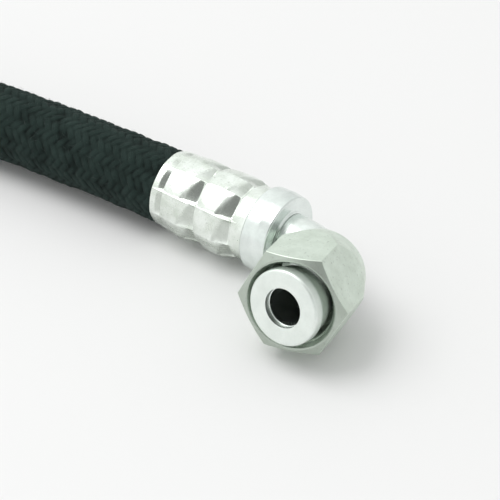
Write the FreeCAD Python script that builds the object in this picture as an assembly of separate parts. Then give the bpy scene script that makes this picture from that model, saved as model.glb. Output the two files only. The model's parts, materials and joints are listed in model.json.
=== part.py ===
import FreeCAD, Part
import math
import os
from FreeCAD import Matrix, Placement, Rotation, Vector

# Hydraulic hose assembly, half-inch size, in millimetres, lying on a flat surface.
# End A is a bent-tube elbow with a flat-face seal and a 13/16-16 swivel nut.
# End B is a straight fitting with the same seal, thread and nut.
# The origin is the centre of end A's seal face.  +X runs along the hose's axis
# from the hose into end A, and +Z is up.

# Hose, after SAE 100R5-8
BORE_R = 5.2
INNER_TUBE_R = 6.7
INNER_BRAID_R = 7.5
WIRE_BRAID_R = 8.2
HOSE_R = 9.6

# Route of the hose: the straight runs between its corners, and the turn at each corner
RUNS = (70.0, 85.0, 90.0, 95.0, 78.0)
TURNS_DEG = (10.0, 12.0, 16.0, 12.0)
ARC_SHARE = 0.45

# Crimped ferrule; lengths run from its mouth on the hose towards the fitting
FERRULE_LENGTH = 28.1
MOUTH_DEPTH = 2.4
HOSE_DEPTH = 22.4
RIM_R = 10.15
RIM_END = 2.7
SHALLOW_GROOVE = (2.9, 4.0)
SHALLOW_GROOVE_R = 9.85
FIRST_BAND = (4.4, 11.8)
FIRST_DEEP_GROOVE = (12.3, 14.2)
SECOND_BAND = (14.7, 21.6)
SECOND_DEEP_GROOVE = (22.1, 24.6)
DEEP_GROOVE_R = 9.45
BAND_EDGE_R = 10.05
BAND_CROWN_R = 10.8
TAIL_RING_START = 24.9
TAIL_RING_R = 9.7
CRIMP_FLATS = 10
CRIMP_FLAT_R = 10.3
CRIMP_RIDGE_DEG = 18.5

# Hose stem
NIPPLE_R = BORE_R
BARB_ROOT_R = 4.85
STEM_BORE_R = 4.0
SHANK_R = 7.6
NIPPLE_TIP = 1.5
FIRST_BARB = 2.5
BARB_PITCH = 3.6
BARB_RAMP = 2.4
BARB_LAND = 0.4
BARB_COUNT = 5

# Collar of the stem, behind the ferrule's tail
COLLAR_LENGTH = 7.4
COLLAR_R = 10.85
COLLAR_WIDEST = 4.2
COLLAR_BACK_R = 10.25
COLLAR_BACK_EDGE = 0.5
COLLAR_SHOULDER_R = 10.75
COLLAR_FRONT_R = 10.4
COLLAR_FACE_R = 10.0

# Elbow tube, half-inch by 1.65 mm wall
TUBE_R = 6.35
TUBE_BORE_R = 4.7
TUBE_SOCKET = 5.0
BEND_R = 18.9
DROP = 31.4
COLLAR_FACE_X = -20.2
PITCH_DEG = 10.5

# Flat-face seal head, shared by both ends
SEAL_R = 9.25
SEAL_HOLE_R = 4.9
SEAL_WALL = 1.5
HEAD_LENGTH = 2.8
SLEEVE_R = 8.45
SLEEVE_LENGTH = 6.6
SLEEVE_TAIL_R = 6.9
SLEEVE_TAIL_LENGTH = 10.4

# Swivel nut, 24 mm across flats, 13/16-16 UN
NUT_FLATS = 24.0
NUT_LENGTH = 22.4
NUT_HEX_LENGTH = 11.5
NUT_TAIL_R = 10.4
NUT_CHAMFER_R = 11.4
NUT_CHAMFER_DEPTH = 1.26
THREAD_MINOR_R = 9.6
THREAD_MOUTH_R = 10.95
THREAD_MOUTH_DEPTH = 2.2
THREAD_LENGTH = 10.8
RELIEF_R = 10.5
RELIEF_END = 14.3
TAIL_HOLE_R = 8.75

# Nut A as it lies: slid back on the elbow and cocked by the bend
NUT_A_FRONT = (0.35, 2.77)
NUT_A_COCK_DEG = 13.0
NUT_A_ROLL_DEG = -6.85

# Retaining wire of nut B, and its grooves
WIRE_R = 0.75
WIRE_RING_R = 9.29
WIRE_FROM_FRONT = 16.6
WIRE_CLEARANCE = 0.12
WIRE_GAP_DEG = 14.0
NUT_B_BORE_R = 9.32
NUT_B_SEAT = 11.1
NECK_R = 7.6
NECK_LENGTH = 4.4
HEAD_B_LENGTH = 14.0
HEAD_B_CHAMFER = 1.0

EDGE = 0.4

# The hose climbs a little sideways, because end B's nut lies on its flat
LIE_LIFT = 1.2
LIE_REACH = 190.0

X_AXIS = Vector(1, 0, 0)
ORIGIN = Vector(0, 0, 0)


def chain(points):
    """Closed wire through points (x, r); a point of three numbers is the middle of an arc."""
    edges = []
    middle = None
    last = points[0]
    for point in list(points[1:]) + [points[0]]:
        if len(point) == 3:
            middle = point
            continue
        start = Vector(last[0], 0, last[1])
        end = Vector(point[0], 0, point[1])
        if middle is None:
            edges.append(Part.LineSegment(start, end).toShape())
        else:
            via = Vector(middle[0], 0, middle[1])
            edges.append(Part.Arc(start, via, end).toShape())
            middle = None
        last = point
    return Part.Wire(edges)


def turned(points):
    """Solid turned about the X axis from a closed outline of (x, r) points."""
    return Part.Face(chain(points)).revolve(ORIGIN, X_AXIS, 360)


def prism(sides, flat_r, length, first_corner_deg):
    """Regular prism along X; corner angles are counted from -Y towards +Z."""
    corner_r = flat_r / math.cos(math.pi / sides)
    corners = []
    for index in range(sides + 1):
        angle = math.radians(first_corner_deg + 360.0 * index / sides)
        corners.append(Vector(0, -corner_r * math.cos(angle), corner_r * math.sin(angle)))
    return Part.Face(Part.makePolygon(corners)).extrude(Vector(length, 0, 0))


def band(span):
    """Outline points of one bulged crimp band."""
    start, end = span
    middle = (start + end) / 2.0
    return [(start, BAND_EDGE_R), (middle, BAND_CROWN_R, "arc"), (end, BAND_EDGE_R)]


def groove(span, radius):
    """Outline points of the floor of one groove."""
    return [(span[0], radius), (span[1], radius)]


def ferrule():
    """Crimped shell: two bulged bands between grooves, pressed flat by the crimping jaws."""
    outline = [(0, HOSE_R), (0, RIM_R - EDGE), (EDGE, RIM_R), (RIM_END, RIM_R)]
    outline += groove(SHALLOW_GROOVE, SHALLOW_GROOVE_R)
    outline += band(FIRST_BAND)
    outline += groove(FIRST_DEEP_GROOVE, DEEP_GROOVE_R)
    outline += band(SECOND_BAND)
    outline += groove(SECOND_DEEP_GROOVE, DEEP_GROOVE_R)
    outline += [(TAIL_RING_START, TAIL_RING_R), (FERRULE_LENGTH, TAIL_RING_R)]
    outline += [(FERRULE_LENGTH, SHANK_R)]
    outline += [(HOSE_DEPTH, SHANK_R), (HOSE_DEPTH, WIRE_BRAID_R)]
    outline += [(MOUTH_DEPTH, WIRE_BRAID_R), (MOUTH_DEPTH, HOSE_R)]
    flats = prism(CRIMP_FLATS, CRIMP_FLAT_R, FERRULE_LENGTH, CRIMP_RIDGE_DEG)
    return turned(outline).common(flats).Solids[0]


def nipple_outline():
    """Barbed outline of the stem inside the hose, from its tip to its shank."""
    points = [(NIPPLE_TIP, STEM_BORE_R), (NIPPLE_TIP, BARB_ROOT_R)]
    for index in range(BARB_COUNT):
        start = FIRST_BARB + index * BARB_PITCH
        crest = start + BARB_RAMP
        back = crest + BARB_LAND
        points += [(start, BARB_ROOT_R), (crest, NIPPLE_R), (back, NIPPLE_R)]
        points += [(back, BARB_ROOT_R)]
    points += [(HOSE_DEPTH, BARB_ROOT_R), (HOSE_DEPTH, SHANK_R)]
    return points


def collar_outline():
    """Outline of the collar that the ferrule's tail bears on."""
    back = FERRULE_LENGTH
    front = FERRULE_LENGTH + COLLAR_LENGTH
    return [(back, SHANK_R), (back, COLLAR_BACK_R), (back + COLLAR_BACK_EDGE, COLLAR_SHOULDER_R),
            (back + COLLAR_WIDEST, COLLAR_R), (front - EDGE, COLLAR_FRONT_R),
            (front, COLLAR_FACE_R)]


def hose_stem_a():
    """Stem of end A, with a socket for the elbow tube."""
    front = FERRULE_LENGTH + COLLAR_LENGTH
    points = nipple_outline() + collar_outline()
    points += [(front, TUBE_R), (front - TUBE_SOCKET, TUBE_R), (front - TUBE_SOCKET, STEM_BORE_R)]
    return turned(points)


def wire_groove():
    """Square ring that cuts the groove of the retaining wire."""
    centre = hose_end_to_front_b() - WIRE_FROM_FRONT
    half = WIRE_R + WIRE_CLEARANCE
    return turned([(centre - half, WIRE_RING_R - half), (centre - half, WIRE_RING_R + half),
                   (centre + half, WIRE_RING_R + half), (centre + half, WIRE_RING_R - half)])


def hose_end_to_front_b():
    """Distance from ferrule B's mouth to the front of nut B."""
    return FERRULE_LENGTH + COLLAR_LENGTH + NECK_LENGTH + HEAD_B_LENGTH + NUT_B_SEAT


def hose_stem_b():
    """Stem of end B: nipple, collar, neck and seal head in one piece."""
    neck = FERRULE_LENGTH + COLLAR_LENGTH
    head = neck + NECK_LENGTH
    face = head + HEAD_B_LENGTH
    points = nipple_outline() + collar_outline()
    points += [(neck, NECK_R), (head, NECK_R), (head + HEAD_B_CHAMFER, SEAL_R)]
    points += [(face - EDGE, SEAL_R), (face, SEAL_R - EDGE), (face, SEAL_HOLE_R)]
    points += [(face - SEAL_WALL, SEAL_HOLE_R), (face - SEAL_WALL, STEM_BORE_R)]
    return turned(points).cut(wire_groove()).Solids[0]


def seal_sleeve():
    """Brazed sleeve with end A's seal face; its face is at 0 and its tail at +X."""
    shoulder = HEAD_LENGTH + SEAL_R - SLEEVE_R
    return turned([(0, SEAL_HOLE_R), (0, SEAL_R - EDGE), (EDGE, SEAL_R), (HEAD_LENGTH, SEAL_R),
                   (shoulder, SLEEVE_R), (SLEEVE_LENGTH, SLEEVE_R),
                   (SLEEVE_TAIL_LENGTH, SLEEVE_TAIL_R), (SLEEVE_TAIL_LENGTH, TUBE_R),
                   (SEAL_WALL, TUBE_R), (SEAL_WALL, SEAL_HOLE_R)])


def nut_blank():
    """Outside of a swivel nut: hexagon, chamfered front and long tapered tail; front at 0."""
    corner_r = NUT_FLATS / 2.0 / math.cos(math.pi / 6)
    body = prism(6, NUT_FLATS / 2.0, NUT_LENGTH, 0.0)
    envelope = turned([(0, 0), (0, NUT_CHAMFER_R), (NUT_CHAMFER_DEPTH, corner_r),
                       (NUT_HEX_LENGTH, corner_r), (NUT_LENGTH - EDGE, NUT_TAIL_R),
                       (NUT_LENGTH, NUT_TAIL_R - EDGE), (NUT_LENGTH, 0)])
    return body.common(envelope)


def thread_outline():
    """Hollow of the thread, from the front of the nut."""
    return [(0, 0), (0, THREAD_MOUTH_R), (THREAD_MOUTH_DEPTH, THREAD_MINOR_R),
            (THREAD_LENGTH, THREAD_MINOR_R)]


def nut_a():
    """Slip-on nut with a relief and a 45 degree shoulder for the sleeve."""
    shoulder = RELIEF_END + RELIEF_R - TAIL_HOLE_R
    hollow = thread_outline()
    hollow += [(THREAD_LENGTH + RELIEF_R - THREAD_MINOR_R, RELIEF_R), (RELIEF_END, RELIEF_R)]
    hollow += [(shoulder, TAIL_HOLE_R), (NUT_LENGTH - EDGE, TAIL_HOLE_R)]
    hollow += [(NUT_LENGTH, TAIL_HOLE_R + EDGE), (NUT_LENGTH, 0)]
    return nut_blank().cut(turned(hollow)).Solids[0]


def nut_b():
    """Wire-retained nut, turned to face +X with its front at hose_end_to_front_b()."""
    hollow = thread_outline() + [(THREAD_LENGTH, NUT_B_BORE_R)]
    hollow += [(NUT_LENGTH, NUT_B_BORE_R), (NUT_LENGTH, 0)]
    nut = nut_blank().cut(turned(hollow))
    nut.rotate(ORIGIN, Vector(0, 0, 1), 180)
    nut.translate(Vector(hose_end_to_front_b(), 0, 0))
    return nut.cut(wire_groove()).Solids[0]


def retaining_wire():
    """Nearly closed ring of round wire between stem B and nut B."""
    centre = Vector(hose_end_to_front_b() - WIRE_FROM_FRONT, 0, WIRE_RING_R)
    section = Part.Face(Part.Wire(Part.makeCircle(WIRE_R, centre, Vector(0, 1, 0))))
    return section.revolve(ORIGIN, X_AXIS, 360 - WIRE_GAP_DEG)


def elbow_tube():
    """Bent tube from stem A's socket to the seal sleeve, in the plane of the elbow."""
    start = Vector(COLLAR_FACE_X - TUBE_SOCKET, DROP, 0)
    bend_start = Vector(-BEND_R, DROP, 0)
    bend_end = Vector(0, DROP - BEND_R, 0)
    end = Vector(0, SEAL_WALL, 0)
    reach = BEND_R * math.sin(math.radians(45))
    middle = Vector(-BEND_R + reach, DROP - BEND_R + reach, 0)
    path = Part.Wire([Part.LineSegment(start, bend_start).toShape(),
                      Part.Arc(bend_start, middle, bend_end).toShape(),
                      Part.LineSegment(bend_end, end).toShape()])
    return path.makePipe(ring_face(start, X_AXIS, TUBE_R, TUBE_BORE_R))


def ring_face(centre, normal, outer_r, inner_r):
    """Flat ring."""
    outer = Part.Face(Part.Wire(Part.makeCircle(outer_r, centre, normal)))
    inner = Part.Face(Part.Wire(Part.makeCircle(inner_r, centre, normal)))
    return outer.cut(inner).Faces[0]


def pitched(shape):
    """Turn a shape from the elbow's own plane to the way it lies."""
    shape.rotate(ORIGIN, X_AXIS, -PITCH_DEG)
    return shape


def place_end_a(shape):
    """Move a shape from its ferrule's own frame, mouth at 0, to end A."""
    shape.translate(Vector(mouth_a_x(), DROP, 0))
    return pitched(shape)


def mouth_a_x():
    """X of ferrule A's mouth."""
    return COLLAR_FACE_X - COLLAR_LENGTH - FERRULE_LENGTH


def place_sleeve(shape):
    """Move a shape from its own frame, face at 0 and tail at +X, to the elbow's end."""
    shape.rotate(ORIGIN, Vector(0, 0, 1), 90)
    return pitched(shape)


def place_nut_a(shape):
    """Move nut A from its own frame, front at 0, to its place on the bend."""
    shape.rotate(ORIGIN, X_AXIS, NUT_A_ROLL_DEG)
    shape.rotate(ORIGIN, Vector(0, 0, 1), 90 + NUT_A_COCK_DEG)
    shape.translate(Vector(NUT_A_FRONT[0], NUT_A_FRONT[1], 0))
    return pitched(shape)


def hose_plane():
    """Start of the hose in ferrule A, and the two directions that its route lies in."""
    pitch = math.radians(PITCH_DEG)
    start = Vector(mouth_a_x() + HOSE_DEPTH, DROP * math.cos(pitch), -DROP * math.sin(pitch))
    along = Vector(-1, 0, 0)
    side = Vector(0, -1, LIE_LIFT / LIE_REACH)
    side.normalize()
    return start, along, side


def route_points():
    """Corners of the hose's route, and its direction at the end."""
    point, along, side = hose_plane()
    points = [point]
    heading = 0.0
    for index, run in enumerate(RUNS):
        angle = math.radians(heading)
        direction = along * math.cos(angle) + side * math.sin(angle)
        point = point + direction * run
        points.append(point)
        if index < len(TURNS_DEG):
            heading += TURNS_DEG[index]
    return points, direction


def trimmed(points, cut):
    """Route whose first and last runs are shorter by cut."""
    first = (points[1] - points[0]).normalize()
    last = (points[-2] - points[-1]).normalize()
    return [points[0] + first * cut] + points[1:-1] + [points[-1] + last * cut]


def hose_path(points, corners):
    """Straight runs joined by tangent arcs: a wire, and the arcs' radii."""
    edges = []
    radii = []
    last = points[0]
    for index in range(1, len(points) - 1):
        corner = points[index]
        back = corners[index - 1] - corner
        ahead = corners[index + 1] - corner
        tangent = ARC_SHARE * min(back.Length, ahead.Length)
        turn = math.radians(TURNS_DEG[index - 1])
        radius = tangent / math.tan(turn / 2.0)
        start = corner + back.normalize() * tangent
        end = corner + ahead.normalize() * tangent
        inward = (start + end) * 0.5 - corner
        inward.normalize()
        middle = corner + inward * (radius / math.cos(turn / 2.0) - radius)
        edges.append(Part.LineSegment(last, start).toShape())
        edges.append(Part.Arc(start, middle, end).toShape())
        radii.append(radius)
        last = end
    edges.append(Part.LineSegment(last, points[-1]).toShape())
    return Part.Wire(edges), radii


def hose_layer(name, outer_r, inner_r, cut):
    """One layer of the hose, checked against its section times its length."""
    corners, _ = route_points()
    path, radii = hose_path(trimmed(corners, cut), corners)
    start = trimmed(corners, cut)[0]
    solid = path.makePipe(ring_face(start, X_AXIS, outer_r, inner_r))
    section = math.pi * (outer_r ** 2 - inner_r ** 2)
    print(name, "length", round(path.Length, 2), "volume / (section x length)",
          round(solid.Volume / (section * path.Length), 5), "radii", [round(r, 1) for r in radii])
    return solid


def place_end_b(shape):
    """Move a shape from its ferrule's own frame, mouth at 0, to end B."""
    points, outward = route_points()
    _, _, side = hose_plane()
    up = Vector(-1, 0, 0).cross(side)
    up.normalize()
    if up.z < 0:
        up = up * -1
    left = up.cross(outward)
    mouth = points[-1] - outward * HOSE_DEPTH
    matrix = Matrix(outward.x, left.x, up.x, mouth.x,
                    outward.y, left.y, up.y, mouth.y,
                    outward.z, left.z, up.z, mouth.z,
                    0, 0, 0, 1)
    shape.Placement = Placement(matrix).multiply(shape.Placement)
    return shape


def build():
    """All pieces by node name."""
    skin = HOSE_DEPTH - MOUTH_DEPTH
    parts = {
        "hose_inner_tube": hose_layer("inner tube", INNER_TUBE_R, BORE_R, 0.0),
        "hose_inner_braid": hose_layer("inner braid", INNER_BRAID_R, INNER_TUBE_R, 0.0),
        "hose_wire_braid": hose_layer("wire braid", WIRE_BRAID_R, INNER_BRAID_R, 0.0),
        "hose_outer_braid": hose_layer("outer braid", HOSE_R, WIRE_BRAID_R, skin),
        "ferrule_a": place_end_a(ferrule()),
        "hose_stem_a": place_end_a(hose_stem_a()),
        "elbow_tube": pitched(elbow_tube()),
        "seal_sleeve": place_sleeve(seal_sleeve()),
        "swivel_nut_a": place_nut_a(nut_a()),
        "ferrule_b": place_end_b(ferrule()),
        "hose_stem_b": place_end_b(hose_stem_b()),
        "swivel_nut_b": place_end_b(nut_b()),
        "nut_retaining_wire": place_end_b(retaining_wire()),
    }
    return parts


def main():
    os.makedirs("parts", exist_ok=True)
    for name, shape in build().items():
        shape.exportStep("parts/" + name + ".step")
        box = shape.BoundBox
        print(name, shape.ShapeType, "solids", len(shape.Solids), "valid", shape.isValid(),
              "volume", round(shape.Volume, 1), "z", round(box.ZMin, 2), round(box.ZMax, 2))


main()
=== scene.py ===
"""Looks of a half-inch hydraulic hose assembly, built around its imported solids.

Lengths are in metres. Each piece of a fitting is modelled in a frame of its own, with X along
its axis, and is placed by a matrix. Angles about that axis run from -Y towards +Z.
"""

import json
import logging
import math
import random
from dataclasses import dataclass, field
from enum import Enum
from typing import Any, Callable, Optional, Sequence, Union

import bpy
import numpy as np
from mathutils import Matrix, Quaternion, Vector


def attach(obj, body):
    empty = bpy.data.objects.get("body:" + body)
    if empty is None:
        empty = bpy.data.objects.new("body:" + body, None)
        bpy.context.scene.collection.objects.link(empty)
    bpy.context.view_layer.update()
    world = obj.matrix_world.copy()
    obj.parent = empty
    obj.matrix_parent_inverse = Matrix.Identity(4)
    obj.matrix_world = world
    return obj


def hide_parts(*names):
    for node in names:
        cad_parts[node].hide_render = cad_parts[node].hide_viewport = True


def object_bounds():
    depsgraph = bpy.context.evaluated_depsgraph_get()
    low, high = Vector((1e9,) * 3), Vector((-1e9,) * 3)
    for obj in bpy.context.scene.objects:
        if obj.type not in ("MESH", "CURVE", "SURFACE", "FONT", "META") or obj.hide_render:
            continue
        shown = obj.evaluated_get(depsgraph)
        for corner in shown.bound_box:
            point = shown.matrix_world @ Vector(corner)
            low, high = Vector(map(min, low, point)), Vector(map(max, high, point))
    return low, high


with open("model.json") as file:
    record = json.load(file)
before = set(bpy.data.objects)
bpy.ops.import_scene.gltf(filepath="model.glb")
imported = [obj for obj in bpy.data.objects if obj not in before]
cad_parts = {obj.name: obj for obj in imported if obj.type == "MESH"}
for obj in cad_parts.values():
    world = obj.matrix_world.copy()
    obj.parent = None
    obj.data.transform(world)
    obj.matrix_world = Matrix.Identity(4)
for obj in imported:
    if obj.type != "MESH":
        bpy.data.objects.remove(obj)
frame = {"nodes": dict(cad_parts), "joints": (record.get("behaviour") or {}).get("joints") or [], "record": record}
CAD_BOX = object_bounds()

MM = 0.001
FULL_TURN = 2.0 * math.pi
LOG = logging.getLogger("hose_assembly")


class Body(Enum):
    """The rigid bodies that pieces ride on."""

    HOSE = "hose_assembly"
    NUT_A = "nut_a"
    NUT_B = "nut_b"


class Slot(Enum):
    """The record's material slots."""

    RUBBER = "inner_rubber"
    INNER_TEXTILE = "inner_textile"
    WIRE = "braid_wire"
    TEXTILE = "black_textile"
    BRIGHT_ZINC = "bright_zinc"
    SATIN_ZINC = "satin_zinc"
    NUT_ZINC = "nut_zinc"
    SPRING_WIRE = "spring_wire"


# ---------------------------------------------------------------- shader helpers


class Graph:
    """Node tree of one material or world."""

    def __init__(self, owner: Union[bpy.types.Material, bpy.types.World]) -> None:
        """Empty the owner's node tree and take it over.

        Args:
            owner: the material or world that the nodes belong to.
        """
        owner.use_nodes = True
        self.owner = owner
        self.tree = owner.node_tree
        self.tree.nodes.clear()

    @classmethod
    def material(cls, name: str) -> "Graph":
        """Graph of a new material."""
        return cls(bpy.data.materials.new(name))

    def node(
        self,
        kind: str,
        settings: Optional[dict[str, Any]] = None,
        inputs: Optional[dict[Union[str, int], Any]] = None,
    ) -> bpy.types.Node:
        """Add a node.

        Args:
            kind: the node's type.
            settings: attributes set before the sockets; "stops" fills a colour ramp.
            inputs: value, Field or socket for each named or numbered input.

        Returns:
            The new node.
        """
        made = self.tree.nodes.new(kind)
        for key, value in (settings or {}).items():
            if key == "stops":
                self._fill_ramp(made.color_ramp, value)
            else:
                setattr(made, key, value)
        for key, value in (inputs or {}).items():
            self.feed(made.inputs[key], value)
        return made

    @staticmethod
    def _fill_ramp(ramp: bpy.types.ColorRamp, stops: Sequence[tuple[float, float]]) -> None:
        """Give a ramp its stops.

        Args:
            ramp: the ramp to fill.
            stops: (position, grey) pairs, in order.
        """
        while len(ramp.elements) < len(stops):
            ramp.elements.new(1.0)
        for element, (position, grey) in zip(ramp.elements, stops):
            element.position = position
            element.color = (grey, grey, grey, 1.0)

    def feed(self, socket: bpy.types.NodeSocket, value: Any) -> None:
        """Link an input, or set its value.

        Args:
            socket: the input.
            value: a Field or socket to link, or a number or colour to set.
        """
        if isinstance(value, Field):
            value = value.socket
        if isinstance(value, bpy.types.NodeSocket):
            self.tree.links.new(value, socket)
        elif isinstance(value, tuple) and len(value) == 3 and socket.type == "RGBA":
            socket.default_value = (*value, 1.0)
        else:
            socket.default_value = value

    def out(self, node: bpy.types.Node, name: Union[str, int] = 0) -> "Field":
        """Output of a node as a Field."""
        return Field(self, node.outputs[name])

    def noise(self, vector: Any, scale: float, detail: float = 3.0, rough: float = 0.5) -> "Field":
        """Noise from 0 to 1.

        Args:
            vector: where the noise is read.
            scale: cells per unit of the vector.
            detail: number of finer octaves.
            rough: strength of the finer octaves.

        Returns:
            The noise.
        """
        settings = {"noise_dimensions": "3D"}
        inputs = {"Vector": vector, "Scale": scale, "Detail": detail, "Roughness": rough}
        return self.out(self.node("ShaderNodeTexNoise", settings, inputs), 0)

    def ramp(self, value: Any, stops: Sequence[tuple[float, float]]) -> "Field":
        """Grey ramp of a value."""
        return self.out(self.node("ShaderNodeValToRGB", {"stops": stops}, {0: value}), 0)

    def mix(self, share: Any, first: Any, second: Any) -> "Field":
        """Colour between two colours.

        Args:
            share: share of the second colour.
            first: colour at 0.
            second: colour at 1.

        Returns:
            The mixed colour.
        """
        made = self.node("ShaderNodeMix", {"data_type": "RGBA"})
        self.feed(made.inputs[0], share)
        self.feed(made.inputs[6], first)
        self.feed(made.inputs[7], second)
        return Field(self, made.outputs[2])

    def bump(self, height: Any, strength: float, distance: float, normal: Any = None) -> "Field":
        """Normal bent by a height.

        Args:
            height: height in units of distance.
            strength: strength of the bend.
            distance: depth of one unit of height, in metres.
            normal: normal to start from, if another bump comes first.

        Returns:
            The bent normal.
        """
        inputs = {"Strength": strength, "Distance": distance, "Height": height}
        if normal is not None:
            inputs["Normal"] = normal
        return self.out(self.node("ShaderNodeBump", None, inputs), 0)

    def place(self) -> "Field":
        """The piece's own coordinates in metres."""
        return self.out(self.node("ShaderNodeTexCoord"), "Object")

    def split(self, vector: Any) -> tuple["Field", "Field", "Field"]:
        """Components of a vector."""
        made = self.node("ShaderNodeSeparateXYZ", None, {0: vector})
        return self.out(made, 0), self.out(made, 1), self.out(made, 2)

    def join(self, x: Any, y: Any, z: Any) -> "Field":
        """Vector of three values."""
        return self.out(self.node("ShaderNodeCombineXYZ", None, {0: x, 1: y, 2: z}), 0)

    def attribute(self, name: str, output: str) -> "Field":
        """A named attribute of the mesh."""
        return self.out(self.node("ShaderNodeAttribute", {"attribute_name": name}), output)

    def toward(self, heading: Sequence["Field"], axis: Sequence[float]) -> "Field":
        """Cosine of the angle between a heading and a unit axis."""
        x, y, z = heading
        return x * axis[0] + y * axis[1] + z * axis[2]

    def finish(self, surface: dict[Union[str, int], Any]) -> bpy.types.Material:
        """Close the material with one Principled shader.

        Args:
            surface: value or Field for each of the shader's inputs.

        Returns:
            The material.
        """
        shader = self.node("ShaderNodeBsdfPrincipled", None, surface)
        self.node("ShaderNodeOutputMaterial", None, {"Surface": shader.outputs[0]})
        return self.owner


class Field:
    """A shader socket that takes part in arithmetic; each operator adds one Math node."""

    def __init__(self, graph: Graph, socket: bpy.types.NodeSocket) -> None:
        """Wrap a socket of a graph."""
        self.graph = graph
        self.socket = socket

    def math(self, operation: str, *values: Any) -> "Field":
        """Math node on the given values.

        Args:
            operation: the node's operation.
            values: numbers, Fields or sockets for its inputs.

        Returns:
            Its output.
        """
        inputs = dict(enumerate(values))
        made = self.graph.node("ShaderNodeMath", {"operation": operation}, inputs)
        return Field(self.graph, made.outputs[0])

    def __add__(self, other: Any) -> "Field":
        """Sum."""
        return self.math("ADD", self, other)

    __radd__ = __add__

    def __sub__(self, other: Any) -> "Field":
        """Difference."""
        return self.math("SUBTRACT", self, other)

    def __rsub__(self, other: Any) -> "Field":
        """Difference from a number."""
        return self.math("SUBTRACT", other, self)

    def __mul__(self, other: Any) -> "Field":
        """Product."""
        return self.math("MULTIPLY", self, other)

    __rmul__ = __mul__

    def __pow__(self, other: Any) -> "Field":
        """Power."""
        return self.math("POWER", self, other)

    def cosine(self) -> "Field":
        """Cosine of a value in radians."""
        return self.math("COSINE", self)

    def root(self) -> "Field":
        """Square root."""
        return self.math("SQRT", self)


# ---------------------------------------------------------------- finishes


@dataclass(frozen=True)
class ZincPlate:
    """Zinc plating on steel: turned marks, faint mottling, small dents and specks.

    Colours are linear. mark_pitch is the spacing of the turned marks along and across the axis,
    the scales are cells per metre and the depths are metres. face_painted_shade paints shade on faces
    square to the axis, standing in for their darker reflection, and slope_painted_shade paints shade on
    the slopes that face the fitting's end, standing in for the dark reflections in the grooves.
    """

    name: str
    tint: tuple[float, float, float]
    shade: tuple[float, float, float]
    roughness: float
    spread: float
    marks: float
    dents: float
    specks: float
    mark_pitch: float = 0.00022
    # Strengths of the painted shade on faces square to the axis and on slopes facing the fitting's end.
    face_painted_shade: float = 0.0
    slope_painted_shade: float = 0.0
    cloud_scale: float = 260.0
    fine_scale: float = 2200.0
    grit_scale: float = 1500.0
    mark_depth: float = 0.00002
    dent_depth: float = 0.0004
    fine_depth: float = 0.00003
    dark_share: float = 0.55

    def material(self) -> bpy.types.Material:
        """Make the node material of this plating.

        Returns:
            The material.
        """
        graph = Graph.material(self.name)
        place = graph.place()
        x, y, z = graph.split(place)
        out = (y * y + z * z).root()
        cells = 1.0 / self.mark_pitch
        turned = graph.noise(graph.join(x * cells, out * cells, 0.0), 1.0, 2.0)
        cloud = graph.noise(place, self.cloud_scale, 4.0, 0.6)
        fine = graph.noise(place, self.fine_scale, 3.0, 0.6)
        grit = graph.ramp(graph.noise(place, self.grit_scale, 2.0), [(0.62, 0.0), (0.72, 1.0)])
        colour = graph.mix(graph.ramp(cloud, [(0.35, 0.0), (0.68, 1.0)]), self.tint, self.shade)
        # Darker colour, used for the specks and for the painted shade on faces and slopes.
        dark = tuple(self.dark_share * value for value in self.shade)
        colour = graph.mix(grit * self.specks, colour, dark)
        across, _, _ = graph.split(graph.out(graph.node("ShaderNodeTexCoord"), "Normal"))
        # Painted shade: faces square to the axis are darkened in place of the darker reflection they show.
        facing = graph.ramp(across * across, [(0.45, 0.0), (0.8, 1.0)])
        colour = graph.mix(facing * self.face_painted_shade, colour, dark)
        # Painted shade: slopes that face the fitting's end are darkened in place of the dark reflections in the
        # grooves.
        slope = graph.ramp(across, [(0.12, 0.0), (0.3, 1.0)])
        colour = graph.mix(slope * self.slope_painted_shade, colour, dark)
        rough = self.roughness + self.spread * (cloud - 0.5) + 0.25 * self.spread * (fine - 0.5)
        normal = graph.bump(turned, self.marks, self.mark_depth)
        normal = graph.bump(cloud, self.dents, self.dent_depth, normal)
        normal = graph.bump(fine - grit * 0.5, self.dents, self.fine_depth, normal)
        surface = {"Base Color": colour, "Metallic": 1.0, "Roughness": rough, "Normal": normal}
        return graph.finish(surface)


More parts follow.
